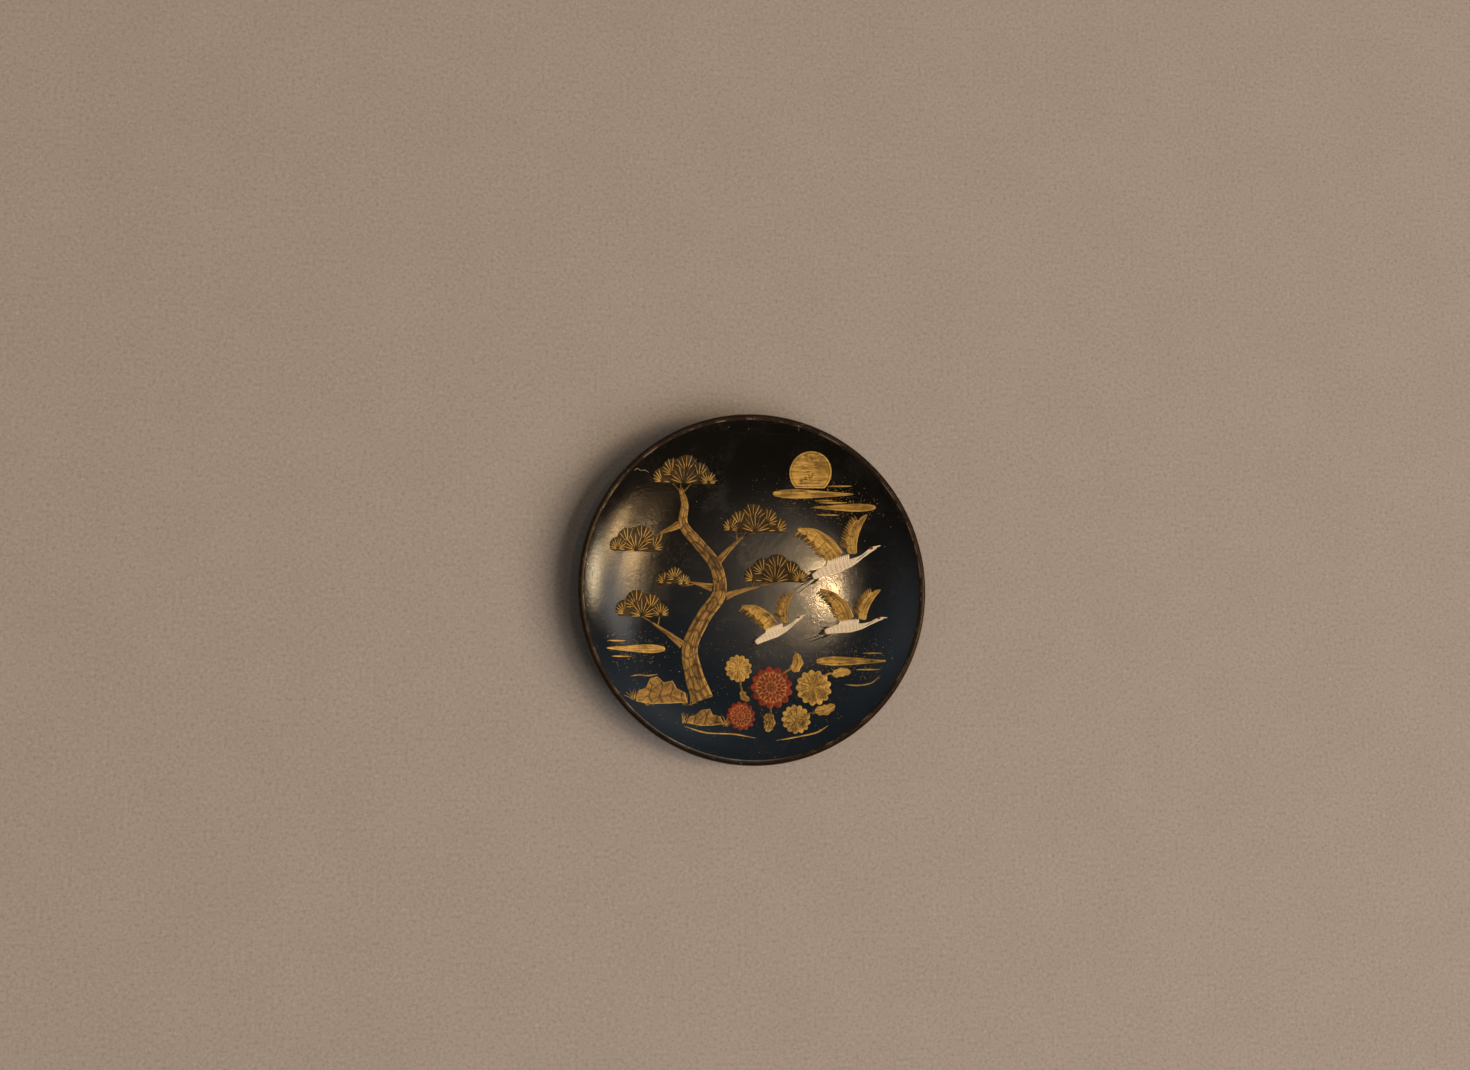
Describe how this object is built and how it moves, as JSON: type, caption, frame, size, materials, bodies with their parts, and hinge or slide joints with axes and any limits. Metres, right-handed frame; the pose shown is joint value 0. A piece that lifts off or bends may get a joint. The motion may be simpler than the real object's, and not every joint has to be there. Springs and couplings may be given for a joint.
{
  "type": "lacquered plate",
  "caption": "Round footed lacquer dish with a hollow face, a turned-up wall and a rounded lip; raised gold and red lacquer and white shell inlay decorate the face.",
  "frame": {"origin": "centre of the foot ring's floor plane, on the dish's axis", "axes": "+Z along the dish's axis, out of the hollow face; +Y towards the top of the picture; +X to the picture's right"},
  "size_m": [0.303, 0.303, 0.035],
  "materials": {
    "wood": "turned, bare under the ground",
    "hemp": "plain woven hemp soaked in lacquer",
    "ground": "ground clay bound with lacquer",
    "face_lacquer": "polished blue-black lacquer, worn",
    "lip_lacquer": "brown-black lacquer, rubbed at the crest",
    "back_lacquer": "plain black lacquer",
    "gold": "raised lacquer dusted with gold powder",
    "brown_gold": "raised lacquer in darker gold",
    "red_lacquer": "raised red lacquer",
    "shell": "thin warm white shell, engraved"
  },
  "bodies": {
    "root": {"wood_core": "wood", "foot_ring": "back_lacquer", "rim_cloth": "hemp", "base_cloth": "hemp", "face_ground": "ground", "back_ground": "ground", "face_lacquer": "face_lacquer", "back_lacquer": "back_lacquer", "base_lacquer": "back_lacquer", "lip_lacquer": "lip_lacquer", "pine_trunk": "brown_gold", "pine_branch_1": "brown_gold", "pine_branch_2": "brown_gold", "pine_branch_3": "brown_gold", "pine_branch_4": "brown_gold", "pine_branch_5": "brown_gold", "pine_needles_1": "gold", "pine_needles_2": "gold", "pine_needles_3": "gold", "pine_needles_4": "gold", "pine_needles_5": "gold", "pine_needles_6": "gold", "mist_band_1": "gold", "mist_band_2": "gold", "mist_band_3": "gold", "mist_band_4": "gold", "sun_disc": "gold", "crane_1_body": "shell", "crane_1_near_wing": "gold", "crane_1_far_wing": "gold", "crane_2_body": "shell", "crane_2_near_wing": "gold", "crane_2_far_wing": "gold", "crane_3_body": "shell", "crane_3_near_wing": "gold", "crane_3_far_wing": "gold", "flower_1": "red_lacquer", "flower_2": "gold", "flower_3": "gold", "flower_4": "gold", "flower_5": "red_lacquer", "leaf_1": "gold", "leaf_2": "gold", "leaf_3": "gold", "leaf_4": "gold", "leaf_5": "gold", "rock_1": "brown_gold", "rock_2": "brown_gold"}
  },
  "joints": []
}
